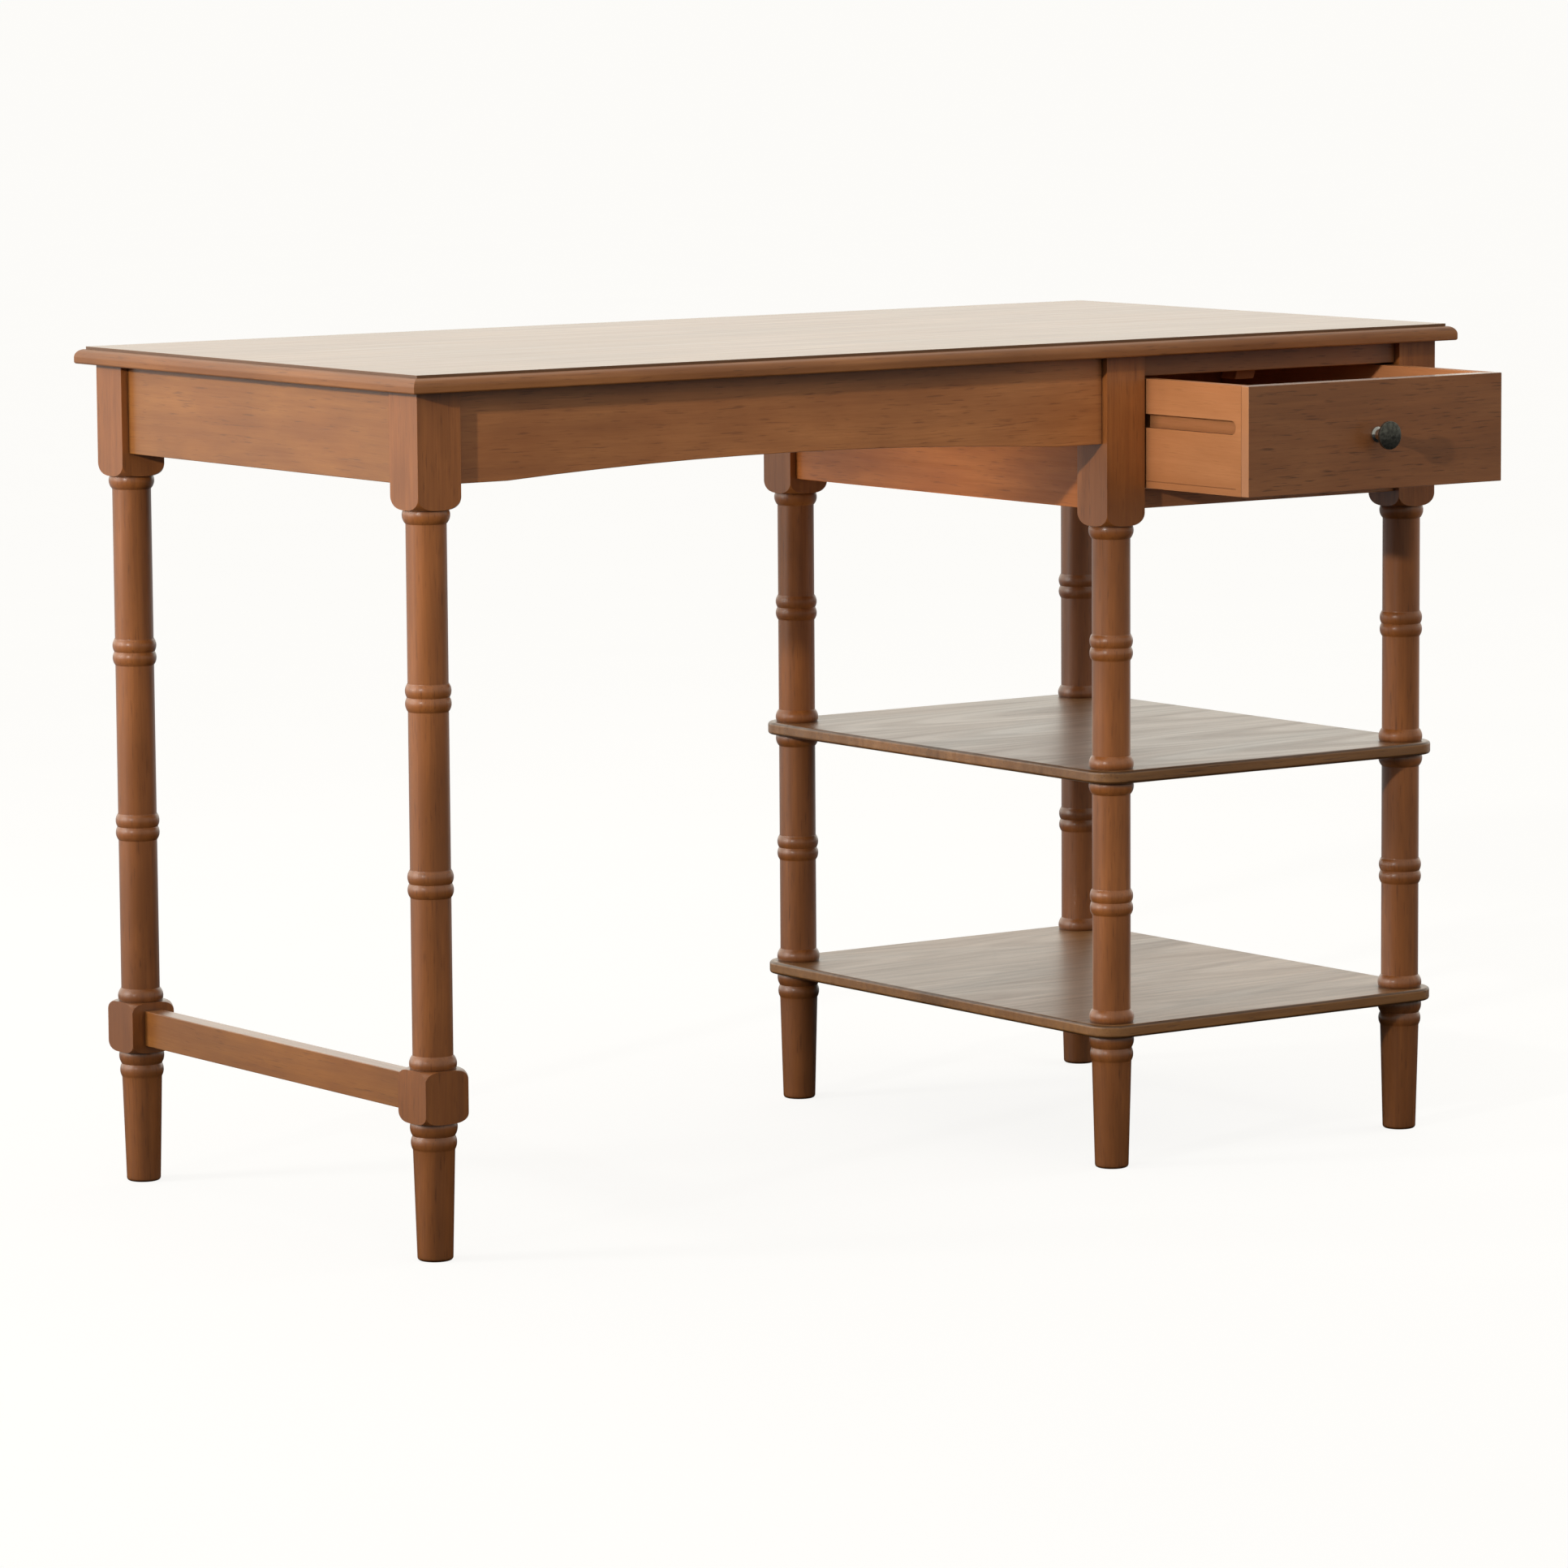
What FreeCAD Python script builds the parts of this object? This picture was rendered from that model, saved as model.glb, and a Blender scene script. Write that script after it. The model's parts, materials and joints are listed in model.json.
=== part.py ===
"""Kneehole writing desk with ringed turned legs, a two-shelf pedestal and one drawer.

X runs along the desk from its left end to its right end, +Y runs from the front to the back and +Z up.
The feet stand on Z = 0. The drawer is modelled part open, and the origin is the middle of that footprint.
"""
import FreeCAD, Part
import os
import re
import Sketcher

doc = FreeCAD.newDocument("KneeholeDesk")
sheet = doc.addObject("Spreadsheet::Sheet", "Sizes")

# Driving sizes, in millimetres
SIZES = {
    # Whole desk
    "desk_height": 760.0,
    "top_length": 1154.0,
    "top_depth": 566.0,
    "top_thickness": 15.5,
    # Moulding round the top
    "moulding_width": 8.0,
    "moulding_step": 2.4,
    "moulding_ledge": 0.5,
    "moulding_round": 1.8,
    # Square parts of the legs
    "leg_inset_end": 35.0,
    "leg_inset_side": 38.5,
    "leg_block": 43.5,
    "shoulder_round": 12.0,
    "left_block_drop": 100.5,
    "pedestal_block_drop": 154.5,
    "stretcher_block_level": 143.0,
    "stretcher_block_height": 46.0,
    "stretcher_shoulder_round": 9.0,
    # Turned parts of the legs
    "shaft_diameter": 35.0,
    "ring_diameter": 39.6,
    "ring_height": 12.2,
    "ring_valley_diameter": 36.6,
    "end_ring_diameter": 40.8,
    "end_ring_face_diameter": 39.4,
    "end_ring_height": 11.8,
    "foot_top_diameter": 36.2,
    "foot_end_diameter": 31.0,
    "foot_round": 3.0,
    # Pedestal
    "pedestal_width": 346.0,
    "shelf_thickness": 12.0,
    "shelf_reach": 28.0,
    "shelf_edge_round": 3.0,
    "upper_shelf_level": 368.4,
    "lower_shelf_level": 135.0,
    "stud_diameter": 8.0,
    "stud_reach": 25.0,
    "stud_clearance": 0.1,
    # Aprons and stretcher
    "apron_thickness": 18.0,
    "apron_setback": 7.0,
    "apron_drop": 79.0,
    "pedestal_apron_drop": 139.5,
    "arch_rise": 9.5,
    "arch_end_flat": 52.0,
    "stretcher_thickness": 18.0,
    "stretcher_height": 32.0,
    "tenon_length": 15.0,
    "tenon_thickness": 8.0,
    "tenon_shoulder": 8.0,
    # Rails of the drawer opening
    "upper_rail_height": 19.5,
    "lower_rail_height": 17.0,
    "rail_depth": 30.0,
    "rail_tenon_depth": 14.0,
    "rail_tenon_shoulder": 4.0,
    # Drawer
    "drawer_opening": 152.0,
    "drawer_gap": 2.0,
    "drawer_length": 400.0,
    "drawer_front_thickness": 16.0,
    "drawer_front_lip": 10.5,
    "drawer_side_thickness": 12.0,
    "drawer_back_thickness": 12.0,
    "drawer_bottom_thickness": 4.0,
    "drawer_bottom_rise": 7.0,
    "drawer_bottom_groove": 5.0,
    "runner_drop": 38.0,
    "runner_height": 12.0,
    "runner_engagement": 5.5,
    "runner_clearance": 0.3,
    "groove_depth": 6.0,
    "groove_start": 18.0,
    "score_height": 0.8,
    "score_depth": 0.6,
    "score_rise": 6.0,
    # Drawer stop
    "stop_width": 22.0,
    "stop_depth": 21.0,
    "stop_drop": 10.0,
    "stop_rake": 9.0,
    # Knob
    "knob_diameter": 25.5,
    "knob_projection": 21.0,
    "knob_base_diameter": 14.0,
    "knob_base_height": 1.6,
    "knob_neck_diameter": 10.0,
    "knob_neck_height": 9.5,
    "knob_rim_height": 2.4,
    "knob_dome": 2.2,
    "knob_screw_diameter": 4.0,
    "knob_screw_reach": 10.0,
    "knob_screw_head_diameter": 8.5,
    "knob_screw_head_height": 2.6,
    "knob_screw_clearance": 0.15,
    # Corner blocks, cleats and wood screws
    "corner_block_width": 30.0,
    "corner_block_gap": 0.5,
    "cleat_section": 18.0,
    "kneehole_cleat_length": 140.0,
    "screw_diameter": 4.0,
    "screw_head_diameter": 8.0,
    "screw_head_height": 3.0,
    "screw_clearance": 0.1,
    "top_screw_bite": 10.0,
    "runner_screw_bite": 14.0,
    # Free space past the tip of each screw and stud
    "tip_gap": 1.0,
    # Cuts run past the faces that they open by this much
    "overrun": 1.0,
}

# Places that follow from the driving sizes
PLACES = {
    "top_under": "desk_height - top_thickness",
    "panel_half_length": "top_length / 2 - moulding_width",
    "panel_half_depth": "top_depth / 2 - moulding_width",
    "leg_x": "top_length / 2 - leg_inset_end",
    "leg_y": "top_depth / 2 - leg_inset_side",
    "inner_x": "leg_x - pedestal_width",
    "half_block": "leg_block / 2",
    "corner_radius": "half_block * sqrt(2)",
    "clear_y": "leg_y - half_block",
    "apron_in": "half_block - apron_setback",
    "apron_middle": "apron_in - apron_thickness / 2",
    "frame_front": "leg_y + apron_in",
    "apron_foot": "top_under - apron_drop",
    "pedestal_apron_foot": "top_under - pedestal_apron_drop",
    "left_block_foot": "top_under - left_block_drop",
    "pedestal_block_foot": "top_under - pedestal_block_drop",
    "stretcher_block_foot": "stretcher_block_level - stretcher_block_height / 2",
    "stretcher_block_head": "stretcher_block_level + stretcher_block_height / 2",
    "upper_shelf_under": "upper_shelf_level - shelf_thickness",
    "lower_shelf_under": "lower_shelf_level - shelf_thickness",
    "upper_rail_foot": "top_under - upper_rail_height",
    "lower_rail_head": "pedestal_apron_foot + lower_rail_height",
    "drawer_head": "upper_rail_foot - drawer_gap",
    "drawer_foot": "lower_rail_head + drawer_gap",
    "drawer_x": "(inner_x + leg_x) / 2",
    "drawer_level": "(drawer_head + drawer_foot) / 2",
    "drawer_half_width": "pedestal_width / 2 - half_block - drawer_gap",
    "drawer_box_start": "drawer_front_lip - frame_front",
    "drawer_end": "drawer_length - frame_front",
    "bottom_foot": "drawer_foot + drawer_bottom_rise",
    "bottom_head": "bottom_foot + drawer_bottom_thickness",
    "runner_level": "drawer_head - runner_drop",
    "groove_half_height": "runner_height / 2 + runner_clearance",
    "groove_straight_start": "groove_start + groove_half_height - frame_front",
    "runner_start": "groove_straight_start + runner_clearance",
    "runner_end": "frame_front - apron_thickness",
    "runner_front_screw": "(runner_start - clear_y) / 2",
    "runner_back_screw": "(clear_y + runner_end) / 2",
    "screw_hole_radius": "screw_diameter / 2 + screw_clearance",
    "screw_sink_radius": "screw_head_diameter / 2 + screw_clearance",
    "corner_block_start": "2 * (leg_block - apron_setback - apron_thickness) + corner_block_gap",
    "corner_screw_offset": "(corner_block_start + corner_block_width / 2) / 2",
    "kneehole_x": "(inner_x - leg_x) / 2",
    "desk_shift": "(frame_front + drawer_opening + knob_projection - top_depth / 2) / 2",
}


def write_sizes():
    """Fill the sheet with one named row for each driving size."""
    for row, (name, value) in enumerate(SIZES.items(), start=1):
        sheet.set(f"A{row}", name)
        sheet.set(f"B{row}", str(value))
        sheet.setAlias(f"B{row}", name)
    doc.recompute()


def formula(text):
    """Turn words for sizes and places into a formula on the sheet's cells."""
    def swap(match):
        word = match.group(0)
        if word in PLACES:
            return f"({formula(PLACES[word])})"
        return f"Sizes.{word}" if word in SIZES else word
    return re.sub(r"[a-z_]+", swap, text)


def number(text):
    """Value of a formula in words, in millimetres."""
    return float(sheet.evalExpression(formula(text)))


def bind(thing, **properties):
    for name, text in properties.items():
        thing.setExpression(name, formula(text))


def place(thing, x="0", y="0", z="0"):
    for axis, text in zip("xyz", (x, y, z)):
        thing.setExpression(f"Placement.Base.{axis}", formula(text))


def turned(axis, degrees):
    return FreeCAD.Placement(FreeCAD.Vector(), FreeCAD.Rotation(FreeCAD.Vector(*axis), degrees))


X_AXIS = (1, 0, 0)
Y_AXIS = (0, 1, 0)
Z_AXIS = (0, 0, 1)
UP = turned(Z_AXIS, 0)
DOWN = turned(X_AXIS, 180)
TO_RIGHT = turned(Y_AXIS, 90)
TO_LEFT = turned(Y_AXIS, -90)
TO_FRONT = turned(X_AXIS, 90)
sub_parts = []


def new_body(label, x="0", y="0", z="0", way=UP):
    """Empty body with a name, standing in the desk's frame or turned in it."""
    body = doc.addObject("PartDesign::Body", label)
    body.Label = label
    body.Placement = way
    place(body, x, f"{y} + desk_shift", z)
    sub_parts.append(body)
    return body


def box(body, low, high, cut=False):
    """Block between two corners, added to a body or cut out of it."""
    kind = "SubtractiveBox" if cut else "AdditiveBox"
    solid = body.newObject(f"PartDesign::{kind}", f"{body.Label}_block")
    spans = [f"({end}) - ({start})" for start, end in zip(low, high)]
    bind(solid, Length=spans[0], Width=spans[1], Height=spans[2])
    place(solid, *low)


def hole(body, radius, depth, mouth, way):
    """Round hole that goes from its mouth along a way."""
    bore = body.newObject("PartDesign::SubtractiveCylinder", f"{body.Label}_hole")
    bore.Placement = way
    bind(bore, Radius=radius, Height=depth)
    place(bore, *mouth)


def sunk_screw_hole(body, depth, mouth, way):
    """Clearance hole with a seat for a sunk screw head at its mouth."""
    hole(body, "screw_hole_radius", depth, mouth, way)
    seat = body.newObject("PartDesign::SubtractiveCone", f"{body.Label}_seat")
    seat.Placement = way
    bind(seat, Radius1="screw_sink_radius", Radius2="screw_hole_radius", Height="screw_head_height")
    place(seat, *mouth)


def new_sketch(body, role):
    sketch = body.newObject("Sketcher::SketchObject", f"{body.Label}_outline")
    origin_plane = next(item for item in body.Origin.OriginFeatures if item.Role == role)
    sketch.AttachmentSupport = [(origin_plane, "")]
    sketch.MapMode = "FlatFace"
    return sketch


def bulge_arc(start, end, radius, side):
    """Short arc between two points that bulges to the left (1) or the right (-1) of the way along it."""
    chord = end - start
    half = chord.Length / 2
    rise = radius - (radius * radius - half * half) ** 0.5
    across = FreeCAD.Vector(-chord.y, chord.x, 0).normalize()
    return Part.Arc(start, (start + end) / 2 + across * (rise * side), end)


def pin_point(sketch, geometry, end, x, y):
    """Tie one end of a line or arc to its place."""
    for kind, text, own_axis in (("DistanceX", x, -2), ("DistanceY", y, -1)):
        if text == "0":
            sketch.addConstraint(Sketcher.Constraint("PointOnObject", geometry, end, own_axis))
            continue
        index = sketch.addConstraint(Sketcher.Constraint(kind, -1, 1, geometry, end, number(text)))
        sketch.setExpression(f"Constraints[{index}]", formula(text))


def outline(sketch, corners):
    """Closed outline. A corner is (x, y), or (x, y, radius, side) when an arc leads to it."""
    points = [FreeCAD.Vector(number(corner[0]), number(corner[1]), 0) for corner in corners]
    ends = []
    for index, start in enumerate(points):
        following = (index + 1) % len(points)
        arc = corners[following][2:]
        if arc:
            edge = bulge_arc(start, points[following], number(arc[0]), arc[1])
        else:
            edge = Part.LineSegment(start, points[following])
        geometry = sketch.addGeometry(edge)
        away = [sketch.getPoint(geometry, end).distanceToPoint(start) for end in (1, 2)]
        ends.append((geometry, 1, 2) if away[0] < away[1] else (geometry, 2, 1))
        if arc:
            size = sketch.addConstraint(Sketcher.Constraint("Radius", geometry, number(arc[0])))
            sketch.setExpression(f"Constraints[{size}]", formula(arc[0]))
    for index, (geometry, first, last) in enumerate(ends):
        next_geometry, next_first, _ = ends[(index + 1) % len(ends)]
        sketch.addConstraint(Sketcher.Constraint("Coincident", geometry, last, next_geometry, next_first))
        pin_point(sketch, geometry, first, *corners[index][:2])


def pad(body, role, corners, length, start="0"):
    """Solid of one outline, padded along its plane's normal from a start level."""
    sketch = new_sketch(body, role)
    sketch.setExpression("AttachmentOffset.Base.z", formula(start))
    outline(sketch, corners)
    feature = body.newObject("PartDesign::Pad", f"{body.Label}_pad")
    feature.Profile = sketch
    bind(feature, Length=length)


def revolve(body, outlines, cut=False):
    """Turn outlines of (radius, height) corners about the upright axis, as wood or as a cut."""
    sketch = new_sketch(body, "XZ_Plane")
    for corners in outlines:
        outline(sketch, corners)
    kind = "Groove" if cut else "Revolution"
    feature = body.newObject(f"PartDesign::{kind}", f"{body.Label}_turning")
    feature.Profile = sketch
    feature.ReferenceAxis = (sketch, ["V_Axis"])
    feature.Angle = 360


def round_edges(body, radius, wanted):
    """Round every edge of a body that a test picks."""
    doc.recompute()
    base = body.Tip
    names = [f"Edge{count}" for count, edge in enumerate(base.Shape.Edges, start=1) if wanted(edge)]
    feature = body.newObject("PartDesign::Fillet", f"{body.Label}_round")
    feature.Base = (base, names)
    bind(feature, Radius=radius)


def lies_flat(edge):
    return edge.BoundBox.ZLength < number("overrun")


# Turned rings. A ring's arc radius follows from its height and how far it stands out.

def arc_radius(chord_height, start, end, apex):
    """Radius of an arc over a chord: a formula from the chord's two diameters and the apex diameter."""
    chord = f"(({chord_height}) ^ 2 + (({end}) / 2 - ({start}) / 2) ^ 2)"
    rise = f"(({apex}) / 2 - ({start}) / 4 - ({end}) / 4)"
    return f"{chord} / (8 * {rise}) + {rise} / 2"


RING_ARC = arc_radius("ring_height", "shaft_diameter", "ring_valley_diameter", "ring_diameter")
END_RING_ARC = arc_radius("end_ring_height", "shaft_diameter", "end_ring_face_diameter",
                          "end_ring_diameter")


def ring_pair(level):
    """Two rings that meet in a valley at a level, met from below."""
    return [
        ("shaft_diameter / 2", f"{level} - ring_height"),
        ("ring_valley_diameter / 2", level, RING_ARC, -1),
        ("shaft_diameter / 2", f"{level} + ring_height", RING_ARC, -1),
    ]


def end_ring_up(level):
    """Single ring that stands on a block or a shelf."""
    return [
        ("end_ring_face_diameter / 2", level),
        ("shaft_diameter / 2", f"{level} + end_ring_height", END_RING_ARC, -1),
    ]


def end_ring_down(level):
    """Single ring under a block or a shelf, met from below."""
    return [
        ("shaft_diameter / 2", f"{level} - end_ring_height"),
        ("end_ring_face_diameter / 2", level, END_RING_ARC, -1),
    ]


def neck(level, head):
    """Ring under a block, with a core that runs up into the block."""
    return end_ring_down(level) + [
        ("shaft_diameter / 2", level),
        ("shaft_diameter / 2", head),
        ("0", head),
    ]


def foot(level):
    """Tapered foot from the floor up to two rings that end at a level."""
    first_ring = f"{level} - end_ring_height"
    second_ring = f"{first_ring} - ring_height"
    valley = "ring_valley_diameter"
    top_arc = arc_radius("end_ring_height", valley, "end_ring_face_diameter", "end_ring_diameter")
    low_arc = arc_radius("ring_height", "foot_top_diameter", valley, "ring_diameter")
    return [
        ("0", "0"),
        ("foot_end_diameter / 2 - foot_round", "0"),
        ("foot_end_diameter / 2", "foot_round", "foot_round", -1),
        ("foot_top_diameter / 2", second_ring),
        ("ring_valley_diameter / 2", first_ring, low_arc, -1),
        ("end_ring_face_diameter / 2", level, top_arc, -1),
    ]


# Square blocks

def shoulder(level, rise, way):
    """Outline that rounds a block's corners at one of its ends; way 1 is a lower end, -1 an upper end."""
    sign = "+" if way > 0 else "-"
    inner = f"corner_radius - {rise}"
    return [
        (inner, level),
        ("corner_radius", f"{level} {sign} {rise}", rise, -way),
        ("corner_radius + overrun", f"{level} {sign} {rise}"),
        ("corner_radius + overrun", level),
    ]


def block(body, foot_level, head_level):
    box(body, ("-half_block", "-half_block", foot_level), ("half_block", "half_block", head_level))


def mortise(body, along, way, across, low, high, thickness="tenon_thickness"):
    """Slot for a tenon that enters a block along X or Y, through the face on one side of its axis."""
    span = ("half_block - tenon_length", "half_block")
    if way < 0:
        span = ("-half_block", "tenon_length - half_block")
    width = (f"{across} - {thickness} / 2", f"{across} + {thickness} / 2")
    pairs = (span, width) if along == "x" else (width, span)
    box(body, (pairs[0][0], pairs[1][0], low), (pairs[0][1], pairs[1][1], high), cut=True)


def signed(sign, text):
    return f"({text})" if sign > 0 else f"-({text})"


APRON_TENON = ("apron_foot + tenon_shoulder", "top_under - tenon_shoulder")
PEDESTAL_TENON = ("pedestal_apron_foot + tenon_shoulder", "top_under - tenon_shoulder")
UPPER_RAIL_TENON = ("upper_rail_foot + rail_tenon_shoulder", "top_under - rail_tenon_shoulder")
LOWER_RAIL_TENON = ("pedestal_apron_foot + rail_tenon_shoulder", "lower_rail_head - rail_tenon_shoulder")
STRETCHER_TENON = (
    "stretcher_block_level - stretcher_height / 2 + tenon_shoulder",
    "stretcher_block_level + stretcher_height / 2 - tenon_shoulder",
)
SIDES = {"front": -1, "back": 1}


def left_leg(side):
    """One-piece leg of the left end, with a stretcher block near the floor."""
    way = SIDES[side]
    body = new_body(f"left_{side}_leg", "-leg_x", signed(way, "leg_y"))
    third = "(left_block_foot - stretcher_block_head) / 3"
    profile = foot("stretcher_block_foot")
    profile += end_ring_up("stretcher_block_head")
    profile += ring_pair(f"(stretcher_block_head + {third})")
    profile += ring_pair(f"(left_block_foot - {third})")
    profile += neck("left_block_foot", "top_under")
    revolve(body, [profile])
    block(body, "left_block_foot", "top_under")
    block(body, "stretcher_block_foot", "stretcher_block_head")
    shoulders = [
        shoulder("left_block_foot", "shoulder_round", 1),
        shoulder("stretcher_block_foot", "stretcher_shoulder_round", 1),
        shoulder("stretcher_block_head", "stretcher_shoulder_round", -1),
    ]
    revolve(body, shoulders, cut=True)
    mortise(body, "x", 1, signed(way, "apron_middle"), *APRON_TENON)
    mortise(body, "y", -way, "-(apron_middle)", *APRON_TENON)
    mortise(body, "y", -way, "0", *STRETCHER_TENON)


def pedestal_upper_leg(name, x, end_way, side):
    """Upper length of a pedestal leg: block, shaft with one pair of rings, ring on the upper shelf."""
    way = SIDES[side]
    body = new_body(f"{name}_{side}_upper_leg", x, signed(way, "leg_y"))
    profile = [("0", "upper_shelf_level")] + end_ring_up("upper_shelf_level")
    profile += ring_pair("((upper_shelf_level + pedestal_block_foot) / 2)")
    profile += neck("pedestal_block_foot", "top_under")
    revolve(body, [profile])
    block(body, "pedestal_block_foot", "top_under")
    revolve(body, [shoulder("pedestal_block_foot", "shoulder_round", 1)], cut=True)
    mortise(body, "y", -way, signed(end_way, "apron_middle"), *PEDESTAL_TENON)
    if side == "front":
        rail_middle = "rail_depth / 2 - apron_in"
        mortise(body, "x", -end_way, rail_middle, *UPPER_RAIL_TENON, "rail_tenon_depth")
        mortise(body, "x", -end_way, rail_middle, *LOWER_RAIL_TENON, "rail_tenon_depth")
    else:
        mortise(body, "x", -end_way, "apron_middle", *PEDESTAL_TENON)
    if name == "inner":
        mortise(body, "x", -1, signed(way, "apron_middle"), *APRON_TENON)
    stud_hole(body, "upper_shelf_level", UP)
    runner_face = signed(-end_way, "half_block")
    screw_y = "runner_front_screw + leg_y" if side == "front" else "runner_back_screw - leg_y"
    hole(body, "screw_hole_radius", "runner_screw_bite", (runner_face, screw_y, "runner_level"),
         TO_RIGHT if end_way > 0 else TO_LEFT)


def stud_hole(body, level, way):
    hole(body, "stud_diameter / 2 + stud_clearance", "stud_reach", ("0", "0", level), way)


def pedestal_middle_leg(name, x, side):
    """Middle length of a pedestal leg, between the two shelves."""
    body = new_body(f"{name}_{side}_middle_leg", x, signed(SIDES[side], "leg_y"))
    profile = [("0", "lower_shelf_level")] + end_ring_up("lower_shelf_level")
    profile += ring_pair("((lower_shelf_level + upper_shelf_under) / 2)")
    profile += end_ring_down("upper_shelf_under") + [("0", "upper_shelf_under")]
    revolve(body, [profile])
    stud_hole(body, "lower_shelf_level", UP)
    stud_hole(body, "upper_shelf_under", DOWN)


def pedestal_foot(name, x, side):
    """Tapered foot under the lower shelf."""
    body = new_body(f"{name}_{side}_foot", x, signed(SIDES[side], "leg_y"))
    revolve(body, [foot("lower_shelf_under") + [("0", "lower_shelf_under")]])
    stud_hole(body, "lower_shelf_under", DOWN)


# Pedestal leg places: name, X place, and the way to the outside of the pedestal
PEDESTAL_LEGS = (("inner", "inner_x", -1), ("outer", "leg_x", 1))


def shelf(label, under):
    """Shelf with round corners about the leg axes, round edges and a stud hole at each leg."""
    body = new_body(label, "drawer_x")
    half = "pedestal_width / 2"
    reach = "shelf_reach"
    corners = []
    for x_way, y_way in ((1, -1), (1, 1), (-1, 1), (-1, -1)):
        x_in, y_in = signed(x_way, half), signed(y_way, "leg_y")
        x_out, y_out = signed(x_way, f"{half} + {reach}"), signed(y_way, f"leg_y + {reach}")
        before, after = (x_in, y_out), (x_out, y_in)
        if x_way == y_way:
            before, after = after, before
        corners += [before, (*after, reach, -1)]
    pad(body, "XY_Plane", corners, "shelf_thickness", under)
    round_edges(body, "shelf_edge_round", lies_flat)
    for x_way in (-1, 1):
        for y_way in (-1, 1):
            mouth = (signed(x_way, half), signed(y_way, "leg_y"), f"{under} - overrun")
            hole(body, "stud_diameter / 2 + stud_clearance", "shelf_thickness + 2 * overrun", mouth, UP)


# Aprons, rails and stretcher

def tenoned_board(label, along, low, high, tenon_low, tenon_high):
    """Board with a stub tenon on each end, along X or Y; the tenon corners give its own section."""
    body = new_body(label)
    box(body, low, high)
    run = "xy".index(along)
    stub_low, stub_high = list(tenon_low), list(tenon_high)
    stub_low[run] = f"{low[run]} - tenon_length"
    stub_high[run] = f"{high[run]} + tenon_length"
    box(body, stub_low, stub_high)


def end_apron(label, x, way, foot_level, tenon):
    """Apron that runs from front to back, set back from the leg blocks' faces."""
    outer = f"{x} + {signed(way, 'apron_in')}"
    inner = f"{x} + {signed(way, 'apron_in - apron_thickness')}"
    low_x, high_x = (inner, outer) if way > 0 else (outer, inner)
    middle = f"{x} + {signed(way, 'apron_middle')}"
    tenoned_board(
        label, "y",
        (low_x, "-(clear_y)", foot_level), (high_x, "clear_y", "top_under"),
        (f"{middle} - tenon_thickness / 2", "0", tenon[0]),
        (f"{middle} + tenon_thickness / 2", "0", tenon[1]),
    )


def back_board(label, start, end, foot_level, tenon):
    """Apron that runs along the back, between the faces of two leg blocks."""
    middle = "leg_y + apron_middle"
    tenoned_board(
        label, "x",
        (start, "frame_front - apron_thickness", foot_level), (end, "frame_front", "top_under"),
        ("0", f"{middle} - tenon_thickness / 2", tenon[0]),
        ("0", f"{middle} + tenon_thickness / 2", tenon[1]),
    )


def front_apron():
    """Apron over the kneehole, with a shallow arch between two flat ends."""
    body = new_body("front_apron")
    start, end = "half_block - leg_x", "inner_x - half_block"
    half_span = "((inner_x + leg_x - leg_block) / 2 - arch_end_flat)"
    arch_radius = f"({half_span} ^ 2 + arch_rise ^ 2) / (2 * arch_rise)"
    corners = [
        (start, "apron_foot"),
        (f"{start} + arch_end_flat", "apron_foot"),
        (f"{end} - arch_end_flat", "apron_foot", arch_radius, 1),
        (end, "apron_foot"),
        (end, "top_under"),
        (start, "top_under"),
    ]
    pad(body, "XZ_Plane", corners, "apron_thickness", "frame_front - apron_thickness")
    middle = "-(leg_y + apron_middle)"
    for root in (start, end):
        box(body, (f"{root} - tenon_length", f"{middle} - tenon_thickness / 2", APRON_TENON[0]),
            (f"{root} + tenon_length", f"{middle} + tenon_thickness / 2", APRON_TENON[1]))


def drawer_rail(label, foot_level, head_level, tenon):
    """Rail across the drawer opening, laid flat."""
    middle = "rail_depth / 2 - frame_front"
    tenoned_board(
        label, "x",
        ("inner_x + half_block", "-(frame_front)", foot_level),
        ("leg_x - half_block", "rail_depth - frame_front", head_level),
        ("0", f"{middle} - rail_tenon_depth / 2", tenon[0]),
        ("0", f"{middle} + rail_tenon_depth / 2", tenon[1]),
    )


def stretcher():
    """Stretcher between the lower blocks of the left end."""
    half = "stretcher_thickness / 2"
    tenoned_board(
        "left_stretcher", "y",
        (f"-leg_x - {half}", "-(clear_y)", "stretcher_block_level - stretcher_height / 2"),
        (f"-leg_x + {half}", "clear_y", "stretcher_block_level + stretcher_height / 2"),
        ("-leg_x - tenon_thickness / 2", "0", STRETCHER_TENON[0]),
        ("-leg_x + tenon_thickness / 2", "0", STRETCHER_TENON[1]),
    )


# Top

# Places of the screws that hold the top down, filled in by the blocks and cleats that they pass through
TOP_SCREWS = []


def top_panel():
    """Veneered panel that stands a step above the moulding round it."""
    body = new_body("top_panel")
    box(body, ("-(panel_half_length)", "-(panel_half_depth)", "top_under"),
        ("panel_half_length", "panel_half_depth", "desk_height"))
    for x, y in TOP_SCREWS:
        hole(body, "screw_hole_radius", "top_screw_bite", (x, y, "top_under"), UP)


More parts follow.
